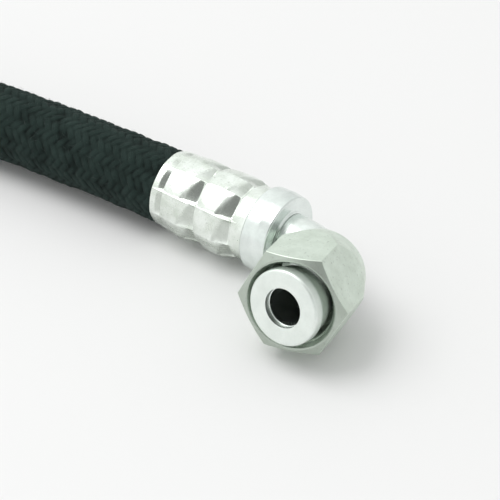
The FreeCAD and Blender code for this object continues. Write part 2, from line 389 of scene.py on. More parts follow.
@dataclass(frozen=True)
class BraidTextile:
    """Black textile braid soaked in cement: yarn ribs along each strand and fuzz.

    Its colour paints shade into the pits between strands and a highlight onto their crowns.
    """

    name: str = "black_braid"
    # pit is painted shade for the low places between strands; yarn is the strands' own colour.
    pit_painted_shade: tuple[float, float, float] = (0.005, 0.0085, 0.0075)
    yarn: tuple[float, float, float] = (0.0115, 0.0205, 0.018)
    # crown is a painted highlight for the raised tops of the strands.
    crown: tuple[float, float, float] = (0.026, 0.043, 0.038)
    yarns_per_strand: int = 4
    fuzz_scale: float = 2600.0
    cloud_scale: float = 210.0
    rib_depth: float = 0.00012
    fibre_depth: float = 0.00016
    fuzz_depth: float = 0.00018

    def material(self) -> bpy.types.Material:
        """Make the node material of the braid.

        Returns:
            The material.
        """
        graph = Graph.material(self.name)
        place = graph.place()
        across, along, height = graph.split(graph.attribute("strand", "Vector"))
        ribs = (across * (FULL_TURN * self.yarns_per_strand)).cosine() * 0.5 + 0.5
        fibre = graph.noise(graph.join(across * 14.0, along * 2.2, 0.0), 1.0, 4.0, 0.65)
        fuzz = graph.noise(place, self.fuzz_scale, 4.0, 0.7)
        cloud = graph.noise(place, self.cloud_scale, 3.0, 0.6)
        # Painted shade: the colour darkens from yarn to pit in the low places between strands.
        low = graph.ramp(height, [(0.15, 0.0), (0.6, 1.0)])
        colour = graph.mix(low, self.pit_painted_shade, self.yarn)
        # Painted highlight: the crown colour lightens the raised strand tops, varied by noise.
        lift = graph.ramp(height * 0.55 + cloud * 0.45 + fibre * 0.25, [(0.5, 0.0), (0.95, 1.0)])
        colour = graph.mix(lift, colour, self.crown)
        normal = graph.bump(ribs, 0.5, self.rib_depth)
        normal = graph.bump(fibre, 0.6, self.fibre_depth, normal)
        normal = graph.bump(fuzz, 0.7, self.fuzz_depth, normal)
        surface = {
            "Base Color": colour,
            "Roughness": 0.92,
            "Sheen Weight": 0.04,
            "Sheen Roughness": 0.5,
            "Sheen Tint": (0.62, 0.75, 0.7),
            "Specular IOR Level": 0.12,
            "Normal": normal,
        }
        return graph.finish(surface)


@dataclass(frozen=True)
class PlainCover:
    """Matte rubber, cloth or wire of the layers inside the hose, with fine grain."""

    name: str
    tint: tuple[float, float, float]
    shade: tuple[float, float, float]
    roughness: float
    metallic: float
    cells: float
    grain_depth: float = 0.0001

    def material(self) -> bpy.types.Material:
        """Make the node material of this layer.

        Returns:
            The material.
        """
        graph = Graph.material(self.name)
        grain = graph.noise(graph.place(), self.cells, 3.0, 0.6)
        colour = graph.mix(grain, self.tint, self.shade)
        surface = {
            "Base Color": colour,
            "Metallic": self.metallic,
            "Roughness": self.roughness,
            "Normal": graph.bump(grain, 0.4, self.grain_depth),
        }
        return graph.finish(surface)


@dataclass(frozen=True)
class Paper:
    """White sweep under the object."""

    name: str = "white_sweep"
    tint: tuple[float, float, float] = (0.84, 0.832, 0.834)

    def material(self) -> bpy.types.Material:
        """Make the node material of the floor.

        Returns:
            The material.
        """
        graph = Graph.material(self.name)
        surface = {"Base Color": self.tint, "Roughness": 0.9, "Specular IOR Level": 0.1}
        return graph.finish(surface)


FERRULE_ZINC = ZincPlate(
    "ferrule_zinc",
    tint=(0.90, 0.945, 0.90),
    shade=(0.69, 0.745, 0.675),
    roughness=0.26,
    spread=0.18,
    marks=0.10,
    dents=0.36,
    specks=0.35,
    # Painted shade on the groove slopes that face the fitting's end.
    slope_painted_shade=0.5,
)
STEM_ZINC = ZincPlate(
    "stem_zinc",
    tint=(0.82, 0.87, 0.845),
    shade=(0.72, 0.77, 0.745),
    roughness=0.24,
    spread=0.08,
    marks=0.25,
    dents=0.06,
    specks=0.08,
)
TUBE_ZINC = ZincPlate(
    "tube_zinc",
    tint=(0.87, 0.92, 0.895),
    shade=(0.75, 0.80, 0.76),
    roughness=0.26,
    spread=0.10,
    marks=0.05,
    dents=0.08,
    specks=0.05,
)
SEAL_ZINC = ZincPlate(
    "seal_zinc",
    tint=(0.86, 0.91, 0.87),
    shade=(0.79, 0.84, 0.80),
    roughness=0.45,
    spread=0.06,
    marks=0.25,
    dents=0.05,
    specks=0.08,
)
NUT_ZINC = ZincPlate(
    "nut_zinc",
    tint=(0.72, 0.795, 0.715),
    shade=(0.62, 0.69, 0.61),
    roughness=0.42,
    spread=0.08,
    marks=0.08,
    dents=0.16,
    specks=0.5,
    # Painted shade on the nut's faces square to its axis.
    face_painted_shade=0.6,
)
SPRING_WIRE = ZincPlate(
    "spring_wire",
    tint=(0.45, 0.45, 0.45),
    shade=(0.35, 0.35, 0.35),
    roughness=0.35,
    spread=0.05,
    marks=0.0,
    dents=0.05,
    specks=0.0,
)
INNER_RUBBER = PlainCover(
    "inner_rubber",
    tint=(0.02, 0.02, 0.02),
    shade=(0.035, 0.035, 0.035),
    roughness=0.7,
    metallic=0.0,
    cells=900.0,
)
INNER_TEXTILE = PlainCover(
    "inner_textile",
    tint=(0.3, 0.28, 0.24),
    shade=(0.2, 0.18, 0.15),
    roughness=0.95,
    metallic=0.0,
    cells=1500.0,
)
BRASSED_WIRE = PlainCover(
    "brassed_wire",
    tint=(0.6, 0.5, 0.32),
    shade=(0.4, 0.35, 0.25),
    roughness=0.35,
    metallic=1.0,
    cells=2500.0,
)
FLUFF = PlainCover(
    "fluff",
    tint=(0.03, 0.045, 0.04),
    shade=(0.07, 0.09, 0.085),
    roughness=0.9,
    metallic=0.0,
    cells=3000.0,
)


# ---------------------------------------------------------------- mesh helpers


@dataclass(frozen=True)
class Corner:
    """Corner of an outline: place along the axis, radius, and how far off its rounding starts."""

    x: float
    r: float
    ease: float = 0.0


ROUND_STEPS = 4
HOLD = 0.00003
EASE_SHARE = 0.42
HOLD_SHARE = 0.05


def rounded(corners: Sequence[Corner]) -> list[tuple[float, float]]:
    """Closed outline with its corners rounded.

    Args:
        corners: the corners in order, in metres.

    Returns:
        Points (x, r); the count depends only on which corners have an ease.
    """
    points = []
    for index, corner in enumerate(corners):
        here = Vector((corner.x, corner.r))
        if corner.ease <= 0.0:
            points.append((here.x, here.y))
            continue
        before = corners[index - 1]
        after = corners[(index + 1) % len(corners)]
        back = Vector((before.x, before.r)) - here
        ahead = Vector((after.x, after.r)) - here
        ease = min(corner.ease, EASE_SHARE * back.length, EASE_SHARE * ahead.length)
        hold = min(HOLD, HOLD_SHARE * back.length, HOLD_SHARE * ahead.length)
        start = here + back.normalized() * ease
        end = here + ahead.normalized() * ease
        points.append(tuple(start + back.normalized() * hold))
        for step in range(ROUND_STEPS + 1):
            share = step / ROUND_STEPS
            near = start.lerp(here, share)
            far = here.lerp(end, share)
            points.append(tuple(near.lerp(far, share)))
        points.append(tuple(end + ahead.normalized() * hold))
    return points


def grid_mesh(name: str, points: np.ndarray) -> bpy.types.Mesh:
    """Smooth mesh of a grid that closes on itself both ways, facing outward.

    Args:
        name: name of the mesh.
        points: array [row, column, 3].

    Returns:
        The mesh.
    """
    rows, columns, _ = points.shape
    index = np.arange(rows * columns).reshape(rows, columns)
    right = np.roll(index, -1, axis=1)
    faces = np.stack([index, right, np.roll(right, -1, axis=0), np.roll(index, -1, axis=0)], axis=2)
    faces = faces.reshape(-1, 4)
    flat = points.reshape(-1, 3)
    first, second, third, fourth = (flat[faces[:, corner]] for corner in range(4))
    volume = np.einsum("ij,ij->i", first, np.cross(second, third) + np.cross(third, fourth)).sum()
    if volume < 0.0:
        faces = faces[:, ::-1]
    mesh = bpy.data.meshes.new(name)
    mesh.from_pydata(flat.tolist(), [], faces.tolist())
    mesh.shade_smooth()
    mesh.update()
    return mesh


def placement(origin: Vector, along: Vector, up: Vector) -> Matrix:
    """Frame of a piece in the row frame.

    Args:
        origin: where the piece's origin goes.
        along: direction of its X axis.
        up: direction that its Z axis comes as near to as it can.

    Returns:
        The matrix that places the piece.
    """
    x_axis = along.normalized()
    y_axis = up.cross(x_axis).normalized()
    matrix = Matrix((x_axis, y_axis, x_axis.cross(y_axis))).transposed().to_4x4()
    matrix.translation = origin
    return matrix


def dress(
    name: str,
    mesh: bpy.types.Mesh,
    material: bpy.types.Material,
    matrix: Matrix,
    body: Body,
    nodes: Sequence[str],
) -> bpy.types.Object:
    """Make a piece of a mesh, place it and tie it to its body.

    Args:
        name: name of the piece.
        mesh: its mesh, in the piece's own frame.
        material: its finish.
        matrix: its place in the row frame.
        body: the body that it rides on.
        nodes: the CAD nodes that it stands for.

    Returns:
        The piece.
    """
    piece = bpy.data.objects.new(name, mesh)
    bpy.context.scene.collection.objects.link(piece)
    mesh.materials.append(material)
    piece.matrix_world = matrix
    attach(piece, body.value)
    if nodes:
        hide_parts(*nodes)
    return piece


def turned_column(corners: Sequence[Corner], angle: float) -> np.ndarray:
    """Points of a rounded outline in a half plane about X.

    Args:
        corners: the outline.
        angle: angle of the half plane, in radians.

    Returns:
        Points [row, 3].
    """
    column = np.array(rounded(corners))
    y = -column[:, 1] * math.cos(angle)
    z = column[:, 1] * math.sin(angle)
    return np.stack([column[:, 0], y, z], axis=1)


def turned_mesh(
    name: str, outline: Callable[[float], Sequence[Corner]], angles: Sequence[float]
) -> bpy.types.Mesh:
    """Mesh turned about X from an outline that may change with the angle.

    Args:
        name: name of the mesh.
        outline: closed outline at an angle in radians; its count of corners stays the same.
        angles: the angles of the mesh's columns, in radians.

    Returns:
        The mesh.
    """
    columns = [turned_column(outline(angle), angle) for angle in angles]
    return grid_mesh(name, np.stack(columns, axis=1))


def even_angles(count: int) -> list[float]:
    """Angles of evenly spaced columns."""
    return [FULL_TURN * index / count for index in range(count)]


def sector_angles(sectors: int, first_deg: float, offsets_deg: Sequence[float]) -> list[float]:
    """Angles of columns that crowd where the sectors meet.

    Args:
        sectors: number of equal sectors.
        first_deg: angle of the first corner.
        offsets_deg: column offsets from a corner, from 0 up to half a sector, both included.

    Returns:
        Angles in radians, in order.
    """
    width = 360.0 / sectors
    local = list(offsets_deg) + [width - offset for offset in reversed(offsets_deg[1:-1])]
    angles = []
    for sector in range(sectors):
        angles += [math.radians(first_deg + sector * width + offset) for offset in local]
    return angles


# ---------------------------------------------------------------- the hose


@dataclass
class HoseRoute:
    """Line of the hose, from inside ferrule A to inside ferrule B."""

    corners: tuple[tuple[float, float, float], ...] = (
        (-0.0333, 0.03087, -0.00572),
        (-0.1033, 0.03087, -0.00572),
        (-0.18701, 0.01611, -0.00563),
        (-0.27046, -0.0176, -0.00542),
        (-0.34532, -0.07609, -0.00505),
        (-0.39545, -0.13584, -0.00467),
    )
    points_per_span: int = 320

    def line(self) -> np.ndarray:
        """Read points from the route's smooth spline.

        Returns:
            Points [station, 3] along the line.
        """
        curve = bpy.data.curves.new("hose_route", "CURVE")
        curve.dimensions = "3D"
        curve.resolution_u = self.points_per_span
        spline = curve.splines.new("NURBS")
        spline.points.add(len(self.corners) - 1)
        for point, corner in zip(spline.points, self.corners):
            point.co = (*corner, 1.0)
        spline.order_u = 3
        spline.use_endpoint_u = True
        spline.resolution_u = self.points_per_span
        holder = bpy.data.objects.new("hose_route", curve)
        mesh = bpy.data.meshes.new_from_object(holder)
        points = np.array([vertex.co for vertex in mesh.vertices], float)
        bpy.data.meshes.remove(mesh)
        bpy.data.curves.remove(curve)
        return points

    def start(self) -> Vector:
        """End of the hose inside ferrule A."""
        return Vector(self.corners[0])

    def end(self) -> Vector:
        """End of the hose inside ferrule B."""
        return Vector(self.corners[-1])

    def up(self) -> Vector:
        """Direction square to the route."""
        first = Vector(self.corners[1]) - self.start()
        return first.cross(self.end() - self.start()).normalized()


@dataclass
class Tube:
    """Frames along a line, for tubes and for what grows on them."""

    points: np.ndarray
    up: Vector
    tangents: np.ndarray = field(init=False)
    sides: np.ndarray = field(init=False)
    ups: np.ndarray = field(init=False)
    lengths: np.ndarray = field(init=False)

    def __post_init__(self) -> None:
        """Work out tangents, cross directions and distances along the line."""
        tangents = np.gradient(self.points, axis=0)
        self.tangents = tangents / np.linalg.norm(tangents, axis=1, keepdims=True)
        ups = np.tile(np.array(self.up), (len(self.points), 1))
        along = (ups * self.tangents).sum(1, keepdims=True) * self.tangents
        ups = ups - along
        self.ups = ups / np.linalg.norm(ups, axis=1, keepdims=True)
        self.sides = np.cross(self.ups, self.tangents)
        steps = np.linalg.norm(np.diff(self.points, axis=0), axis=1)
        self.lengths = np.concatenate([[0.0], np.cumsum(steps)])

    def part(self, cut: float) -> "Tube":
        """The same line without a stretch of that length at each end."""
        keep = (self.lengths >= cut) & (self.lengths <= self.lengths[-1] - cut)
        return Tube(self.points[keep], self.up)

    def surface(self, angles: np.ndarray, radii: np.ndarray) -> np.ndarray:
        """Points round the line.

        Args:
            angles: column angles, from one side towards up.
            radii: radii [station, column].

        Returns:
            Points [station, column, 3].
        """
        sides = self.sides[:, None, :] * -np.cos(angles)[None, :, None]
        ups = self.ups[:, None, :] * np.sin(angles)[None, :, None]
        return self.points[:, None, :] + (sides + ups) * radii[:, :, None]


@dataclass
class Weave:
    """Two-over-two braid of flat strands, as a height over a tube's surface.

    Strands wander by a share of their width; the cells of the three noises are per pitch.
    """

    carriers: int = 20
    pitch: float = 0.0024
    wave: float = 0.00036
    crown: float = 0.00024
    ragged: float = 0.00022
    seed: int = 5
    wander: float = 0.10
    wander_cells: float = 0.45
    ragged_cells: float = 0.8
    fine_cells: float = 2.3
    lattice_rows: int = 997

    def lattice(self, u: np.ndarray, v: np.ndarray, wrap: int, seed: int) -> np.ndarray:
        """Smooth noise from -1 to 1 on unit cells.

        Args:
            u: place round the hose, in cells.
            v: place along it, in cells.
            wrap: number of cells after which u repeats.
            seed: seed of the noise.

        Returns:
            The noise at each place.
        """
        values = np.random.default_rng(seed).uniform(-1.0, 1.0, (wrap, self.lattice_rows))
        column = np.floor(u).astype(int)
        row = np.floor(v).astype(int)
        across = u - column
        along = v - row
        across = across * across * (3.0 - 2.0 * across)
        along = along * along * (3.0 - 2.0 * along)
        total = np.zeros_like(u)
        for step_u, share_u in ((0, 1.0 - across), (1, across)):
            for step_v, share_v in ((0, 1.0 - along), (1, along)):
                cell = values[(column + step_u) % wrap, (row + step_v) % self.lattice_rows]
                total += cell * share_u * share_v
        return total

    def heights(self, angles: np.ndarray, lengths: np.ndarray) -> tuple[np.ndarray, ...]:
        """Relief of the braid.

        Args:
            angles: column angles in radians.
            lengths: station distances in metres.

        Returns:
            Height in metres, place across and along the strand on top, all [station, column].
        """
        turn = angles[None, :] * self.carriers / FULL_TURN + np.zeros((len(lengths), 1))
        run = lengths[:, None] / self.pitch + np.zeros((1, len(angles)))
        wander = self.lattice(turn, run * self.wander_cells, self.carriers, self.seed)
        wander = self.wander * wander
        right = turn + run + wander
        left = turn - run + wander
        width = 0.5 * math.pi
        across_right = right - np.floor(right) - 0.5
        across_left = left - np.floor(left) - 0.5
        wave_right = np.cos(width * (left + np.floor(right) - 1.0))
        wave_left = np.cos(width * (right + np.floor(left) - 3.0))
        over = 0.5 * self.wave * wave_right - self.crown * (2.0 * across_right) ** 4
        under = 0.5 * self.wave * wave_left - self.crown * (2.0 * across_left) ** 4
        top = over > under
        height = np.where(top, over, under)
        coarse = self.lattice(turn, run * self.ragged_cells, self.carriers, self.seed + 1)
        fine = self.lattice(2.0 * turn, run * self.fine_cells, 2 * self.carriers, self.seed + 2)
        height += self.ragged * coarse
        height += 0.5 * self.ragged * fine
        across = np.where(top, across_right, across_left)
        along = np.where(top, left, right)
        return height, across, along


@dataclass
class Fluff:
    """Loose bent fibres that stand off the cover; a pair of values is a range to draw from."""

    count: int = 5000
    bare: int = 40
    seed: int = 11
    root: float = 0.00030
    lift: float = 0.0001
    reach: tuple[float, float] = (0.0006, 0.0020)
    rise: tuple[float, float] = (0.00015, 0.00065)
    thick: tuple[float, float] = (0.000018, 0.000035)
    arch: float = 2.4
    thinning: float = 0.6
    steps: int = 4

    def fibre(
        self, line: Tube, station: int, root: Vector, out: Vector, draw: random.Random
    ) -> list[Vector]:
        """Points of one three-sided fibre.

        Args:
            line: the hose's line.
            station: the station of the line that the fibre starts at.
            root: where it starts.
            out: direction away from the line there.
            draw: source of the random draws.

        Returns:
            Three points for each step along the fibre.
        """
        along = Vector(line.tangents[station]) * draw.choice((-1.0, 1.0))
        round_it = out.cross(along) * draw.uniform(-1.0, 1.0)
        heading = (along * draw.uniform(0.2, 1.0) + round_it).normalized()
        reach = draw.uniform(*self.reach)
        rise = draw.uniform(*self.rise)
        thick = draw.uniform(*self.thick)
        across = heading.cross(out)
        points = []
        for step in range(self.steps + 1):
            share = step / self.steps
            height = rise * math.sin(share * self.arch) + self.lift
            middle = root + heading * (reach * share) + out * height
            slim = thick * (1.0 - self.thinning * share)
            points.append(middle + out * slim)
            points.append(middle + across * slim - out * (0.5 * slim))
            points.append(middle - across * slim - out * (0.5 * slim))
        return points

    def faces(self, first: int) -> list[tuple[int, ...]]:
        """Faces of a fibre.

        Args:
            first: number of the fibre's first point.

        Returns:
            Its sides and both ends.
        """
        faces = []
        for step in range(self.steps):
            low = first + 3 * step
            for corner in range(3):
                following = (corner + 1) % 3
                faces.append((low + corner, low + following, low + 3 + following, low + 3 + corner))
        faces.append((first + 2, first + 1, first))
        last = first + 3 * self.steps
        faces.append((last, last + 1, last + 2))
        return faces

    def build(self, line: Tube, radius: float) -> bpy.types.Object:
        """Build the fibres.

        Args:
            line: the hose's line.
            radius: radius of the cover that they stand on.

        Returns:
            The piece.
        """
        draw = random.Random(self.seed)
        points = []
        faces = []
        for _ in range(self.count):
            station = draw.randrange(self.bare, len(line.points) - self.bare)
            angle = draw.uniform(0.0, FULL_TURN)
            side = Vector(line.sides[station])
            out = side * -math.cos(angle) + Vector(line.ups[station]) * math.sin(angle)
            root = Vector(line.points[station]) + out * (radius - self.root)
            faces += self.faces(len(points))
            points += self.fibre(line, station, root, out, draw)
        mesh = bpy.data.meshes.new("braid_fluff")
        mesh.from_pydata(points, [], faces)
        mesh.shade_smooth()
        place = Matrix.Identity(4)
        return dress("braid_fluff", mesh, FLUFF.material(), place, Body.HOSE, [])


@dataclass(frozen=True)
class HoseLayer:
    """A plain layer inside the hose: its piece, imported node, slot, finish and radii."""

    name: str
    node: str
    slot: Slot
    finish: PlainCover
    outer_r: float
    inner_r: float


@dataclass
class BraidedHose:
    """The hose: braided cover with loose fibres, and the layers inside it.

    The cover is skived off inside the ferrules, and tucked in a little at their mouths.
    """

    route: HoseRoute
    radius: float = 0.00945
    wall: float = 0.00125
    skived: float = 0.020
    tuck: float = 0.0005
    tuck_end: float = 0.0028
    tuck_run: float = 0.0008
    columns: int = 180
    inner_columns: int = 48
    inner_step: int = 12
    weave: Weave = field(default_factory=Weave)
    fluff: Fluff = field(default_factory=Fluff)
    layers: tuple[HoseLayer, ...] = (
        HoseLayer("hose_wire_layer", "hose_wire_braid", Slot.WIRE, BRASSED_WIRE, 0.0082, 0.0075),
        HoseLayer(
            "hose_inner_textile",
            "hose_inner_braid",
            Slot.INNER_TEXTILE,
            INNER_TEXTILE,
            0.0075,
            0.0067,
        ),
        HoseLayer("hose_rubber_tube", "hose_inner_tube", Slot.RUBBER, INNER_RUBBER, 0.0067, 0.0052),
    )

    def tube_points(self, line: Tube, outer: np.ndarray, inner: float, step: int) -> np.ndarray:
        """Closed wall of a tube: outer surface out, inner surface back.

        Args:
            line: the tube's line.
            outer: outer radii [station, column].
            inner: inner radius.
            step: stations between two rows of the inner surface.

        Returns:
            Points [row, column, 3].
        """
        angles = np.linspace(0.0, FULL_TURN, outer.shape[1], endpoint=False)
        outside = line.surface(angles, outer)
        hollow = line.surface(angles, np.full_like(outer, inner))[::-1]
        ends = np.unique(np.append(np.arange(0, len(hollow), step), len(hollow) - 1))
        return np.concatenate([outside, hollow[ends]])

    def tucked(self, line: Tube) -> np.ndarray:
        """How far the cover is pressed in at each station.

        Args:
            line: the cover's line.

        Returns:
            Depths in metres; 0 outside the ferrules.
        """
        buried = line.lengths[-1] - line.lengths
        buried = np.minimum(line.lengths - line.lengths[0], buried)
        return np.clip((self.tuck_end - buried) / self.tuck_run, 0.0, 1.0) * self.tuck

    def cover(self, line: Tube) -> bpy.types.Object:
        """Build the braided cover.

        Args:
            line: the cover's line.

        Returns:
            The piece.
        """
        angles = np.linspace(0.0, FULL_TURN, self.columns, endpoint=False)
        height, across, along = self.weave.heights(angles, line.lengths)
        radii = self.radius - 0.5 * self.weave.wave + height - self.tucked(line)[:, None]
        points = self.tube_points(line, radii, self.radius - self.wall, self.inner_step)
        mesh = grid_mesh("braided_cover", points)
        level = (height - height.min()) / (height.max() - height.min())
        told = np.zeros((points.shape[0], self.columns, 3))
        told[: len(height)] = np.stack([across, along, level], axis=2)
        strand = mesh.attributes.new("strand", "FLOAT_VECTOR", "POINT")
        strand.data.foreach_set("vector", told.reshape(-1).astype(np.float32))
        return dress(
            "braided_cover",
            mesh,
            BraidTextile().material(),
            Matrix.Identity(4),
            Body.HOSE,
            ["hose_outer_braid"],
        )

    def layer(self, line: Tube, layer: HoseLayer) -> bpy.types.Object:
        """Build one plain layer.

        Args:
            line: the whole hose's line.
            layer: the layer's names, finish and radii.

        Returns:
            The piece.
        """
        sparse = Tube(line.points[:: self.inner_step], line.up)
        outer = np.full((len(sparse.points), self.inner_columns), layer.outer_r)
        return dress(
            layer.name,
            grid_mesh(layer.name, self.tube_points(sparse, outer, layer.inner_r, 1)),
            layer.finish.material(),
            Matrix.Identity(4),
            Body.HOSE,
            [layer.node],
        )

    def build(self) -> list[bpy.types.Object]:
        """Returns:
            Its pieces.
        """
        whole = Tube(self.route.line(), self.route.up())
        line = whole.part(self.skived)
        cover = self.cover(line)
        fluff = self.fluff.build(line, self.radius)
        inner = [self.layer(whole, layer) for layer in self.layers]
        return [cover, fluff, *inner]


# ---------------------------------------------------------------- fittings


@dataclass(frozen=True)
class Ring:
    """Station of a ferrule's outside, in millimetres: radius amid a jaw's flat and at its ridges.

    A higher power makes the dip between the ridges more square; a lean moves the station back
    towards the lower ridge; fin scales the sharp line that the jaws leave on a ridge.
    """

    x: float
    amid: float
    ridge: float
    power: float = 2.0
    ease: float = 1.0
    lean: float = 0.0
    fin: float = 0.4


@dataclass
class CrimpedFerrule:
    """Ferrule pressed by ten jaws: two pillow-shaped bands between grooves bridged at the ridges.

    Lengths run from its mouth on the hose towards the fitting. Each ridge has its angle, the
    height of its fin, a swell of the bands and a share of rounding; these and the values from
    fin_share to uneven are in millimetres or shares, as the rings are. A furrow runs beside
    each fin, and the swell counts in full where a ring's ridge is band_rise over band_foot.
    """

    length: float = 28.1 * MM
    bore_r: float = 9.35 * MM
    wire_r: float = 8.2 * MM
    shank_r: float = 7.6 * MM
    tail_r: float = 9.46 * MM
    mouth_depth: float = 2.4 * MM
    hose_depth: float = 22.4 * MM
    ridges_deg: tuple[float, ...] = (
        -58.1, -22.1, 17.5, 56.2, 86.5, 121.9, 157.9, 193.9, 229.9, 265.9
    )
    fins: tuple[float, ...] = (0.12, 0.14, 0.21, 0.06, 0.05, 0.12, 0.24, 0.12, 0.2, 0.16)
    swells: tuple[float, ...] = (0.28, 0.12, 0.0, 0.0, -0.05, -0.12, 0.0, 0.1, 0.0, 0.15)
    rounds: tuple[float, ...] = (0.3, 0.3, 0.0, 0.5, 0.9, 0.7, 0.3, 0.5, 0.2, 0.4)
    fin_share: float = 0.034
    fin_spread: float = 0.7
    furrow: float = 0.2
    furrow_at: float = 2.4
    band_foot: float = 9.8
    band_rise: float = 0.6
    uneven: float = 0.05
    seed: int = 3
    shares: tuple[float, ...] = (
        0.0, 0.012, 0.024, 0.038, 0.055, 0.075, 0.10, 0.14, 0.19, 0.25, 0.32, 0.40
    )
    rings: tuple[Ring, ...] = (
        Ring(0.0, 9.62, 9.78, 2.0, 0.25, 0.0, 0.2),
        Ring(1.6, 9.72, 9.86, 2.0, 0.3, 0.0, 0.3),
        Ring(3.2, 9.20, 9.86, 4.0, 0.1, 0.0, 0.8),
        Ring(3.4, 9.80, 9.90, 3.0, 0.15, 0.0, 0.8),
        Ring(5.0, 9.98, 10.16, 2.0, 1.0, 0.0, 0.2),
        Ring(7.2, 10.08, 10.34, 2.0, 1.0, 0.0, 0.3),
        Ring(9.9, 10.02, 10.28, 2.0, 0.8, 1.6, 0.4),
        Ring(12.0, 9.80, 10.10, 2.0, 0.8, 3.0, 0.7),
        Ring(12.9, 8.92, 9.74, 4.0, 0.3, -0.3, 1.0),
        Ring(13.2, 8.90, 9.72, 4.0, 0.1, -0.3, 1.0),
        Ring(13.55, 9.90, 9.92, 3.0, 0.2, -0.2, 1.0),
        Ring(15.0, 10.10, 10.28, 2.0, 1.0, 0.0, 0.3),
        Ring(17.4, 10.22, 10.54, 2.0, 1.0, 0.0, 0.3),
        Ring(20.6, 10.12, 10.46, 2.0, 0.8, 1.2, 0.4),
        Ring(22.6, 9.80, 10.20, 2.0, 0.8, 2.4, 0.7),
        Ring(23.75, 8.92, 9.64, 4.0, 0.3, 0.0, 1.0),
        Ring(24.1, 8.90, 9.60, 4.0, 0.1, 0.0, 1.0),
        Ring(24.4, 9.40, 9.50, 2.0, 0.15, 0.0, 0.5),
        Ring(26.2, 9.42, 9.46, 2.0, 1.0, 0.0, 0.0),
    )

    def __post_init__(self) -> None:
        """Draw how much more or less each jaw pressed."""
        draw = random.Random(self.seed)
        self.pressed = [draw.uniform(-1.0, 1.0) for _ in self.ridges_deg]

    def column(self, jaw: int, share: float) -> np.ndarray:
        """Points of the outline at one place on a jaw's flat.

        Args:
            jaw: number of the jaw, which is that of the ridge before its flat.
            share: how far across the flat the place is, from 0 to 1.

        Returns:
            Points [row, 3].
        """
        after = (jaw + 1) % len(self.ridges_deg)
        width = (self.ridges_deg[after] - self.ridges_deg[jaw]) % 360.0
        angle = math.radians(self.ridges_deg[jaw] + share * width)
        place = 2.0 * share - 1.0
        near = min(share, 1.0 - share)
        beside = jaw if share < 0.5 else after
        swell = self.swells[jaw] * (1.0 - share) + self.swells[after] * share
        round_off = self.rounds[jaw] * (1.0 - share) + self.rounds[after] * share
        wide = (width * len(self.ridges_deg) / 360.0) ** 2
        soft = math.cos(0.5 * math.pi * place) ** 2
        corners = [Corner(0.0, self.bore_r)]
        for ring in self.rings:
            reach = near / (self.fin_share * (self.fin_spread + self.fin_spread * ring.fin))
            line = math.exp(-(reach**2))
            line -= self.furrow * math.exp(-((reach - self.furrow_at) ** 2))
            bulge = min(1.0, max(0.0, ring.ridge - self.band_foot) / self.band_rise)
            ridge = ring.ridge + swell * bulge
            dip = (ridge - ring.amid) * wide - self.uneven * self.pressed[jaw]
            dip *= round_off * soft + (1.0 - round_off) * (1.0 - abs(place) ** ring.power)
            radius = ridge - dip + self.fins[beside] * line * ring.fin
            x = ring.x - ring.lean * 0.5 * (1.0 - place)
            corners.append(Corner(x * MM, radius * MM, ring.ease * MM))
        corners += [
            Corner(self.length, self.tail_r, 0.25 * MM),
            Corner(self.length, self.shank_r),
            Corner(self.hose_depth, self.shank_r),
            Corner(self.hose_depth, self.wire_r),
            Corner(self.mouth_depth, self.wire_r),
            Corner(self.mouth_depth, self.bore_r),
        ]
        return turned_column(corners, angle)

    def build(self, name: str, matrix: Matrix, node: str) -> bpy.types.Object:
        """Build the ferrule.

        Args:
            name: name of the piece.
            matrix: its place in the row frame.
            node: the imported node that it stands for.

        Returns:
            The piece.
        """
        shares = list(self.shares) + [0.5] + [1.0 - share for share in self.shares[:0:-1]]
        jaws = range(len(self.ridges_deg))
        columns = [self.column(jaw, share) for jaw in jaws for share in shares]
        mesh = grid_mesh(name, np.stack(columns, axis=1))
        finish = FERRULE_ZINC.material()
        return dress(name, mesh, finish, matrix, Body.HOSE, [node])


